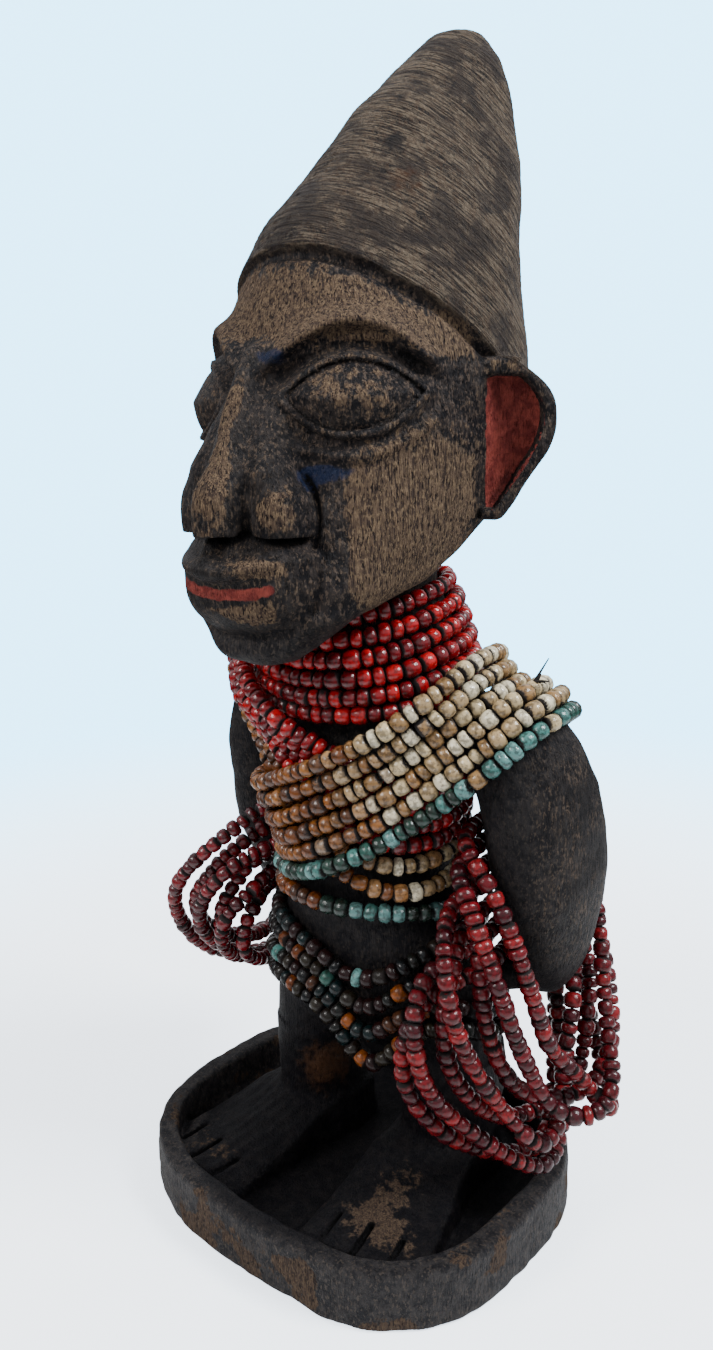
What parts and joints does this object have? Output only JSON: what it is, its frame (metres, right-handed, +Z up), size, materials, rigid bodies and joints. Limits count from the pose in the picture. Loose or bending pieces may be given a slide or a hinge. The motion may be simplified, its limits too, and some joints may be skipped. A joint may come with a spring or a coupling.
{
  "type": "beaded twin figure",
  "caption": "Standing carved wooden twin figure with a tall pointed coiffure on a dished plinth, dressed in strings of coloured glass beads.",
  "frame": {"origin": "on the plinth's flat underside, below the figure's own upright axis", "axes": "+Z up from the plinth through the figure, the figure faces -Y and its own left side is +X"},
  "size_m": [0.1141, 0.0886, 0.2593],
  "materials": {
    "wood": "dark worn patina with paler rubbed places",
    "red_glass": "opaque, glossy, with grime between the beads",
    "maroon_glass": "opaque brick red to maroon, worn gloss",
    "cream_glass": "opaque cream to ochre, glossy",
    "ochre_glass": "opaque ochre, amber and brown, glossy",
    "turquoise_glass": "opaque turquoise and green, glossy",
    "grey_glass": "opaque dark grey, brown and teal, dull gloss"
  },
  "bodies": {
    "root": {"carved_figure": "wood", "neck_string_1": "red_glass", "neck_string_2": "red_glass", "neck_string_3": "red_glass", "neck_string_4": "red_glass", "neck_string_5": "red_glass", "neck_string_6": "red_glass", "right_shoulder_string_1": "ochre_glass", "right_shoulder_string_2": "ochre_glass", "right_shoulder_string_3": "red_glass", "right_shoulder_string_4": "red_glass", "right_shoulder_string_5": "red_glass", "right_shoulder_string_6": "red_glass", "left_shoulder_string_1": "turquoise_glass", "left_shoulder_string_2": "cream_glass", "left_shoulder_string_3": "cream_glass", "left_shoulder_string_4": "cream_glass", "left_shoulder_string_5": "cream_glass", "left_shoulder_string_6": "cream_glass", "waist_string": "ochre_glass", "hip_string_1": "grey_glass", "hip_string_2": "grey_glass", "hip_string_3": "grey_glass", "hip_string_4": "grey_glass", "left_arm_loop_1": "maroon_glass", "left_arm_loop_2": "maroon_glass", "left_arm_loop_3": "maroon_glass", "left_arm_loop_4": "maroon_glass", "left_arm_loop_5": "maroon_glass", "left_arm_loop_6": "maroon_glass", "left_arm_loop_7": "maroon_glass", "right_arm_loop_1": "red_glass", "right_arm_loop_2": "red_glass", "right_arm_loop_3": "red_glass", "right_arm_loop_4": "red_glass", "right_arm_loop_5": "red_glass", "right_arm_loop_6": "red_glass"}
  },
  "joints": []
}
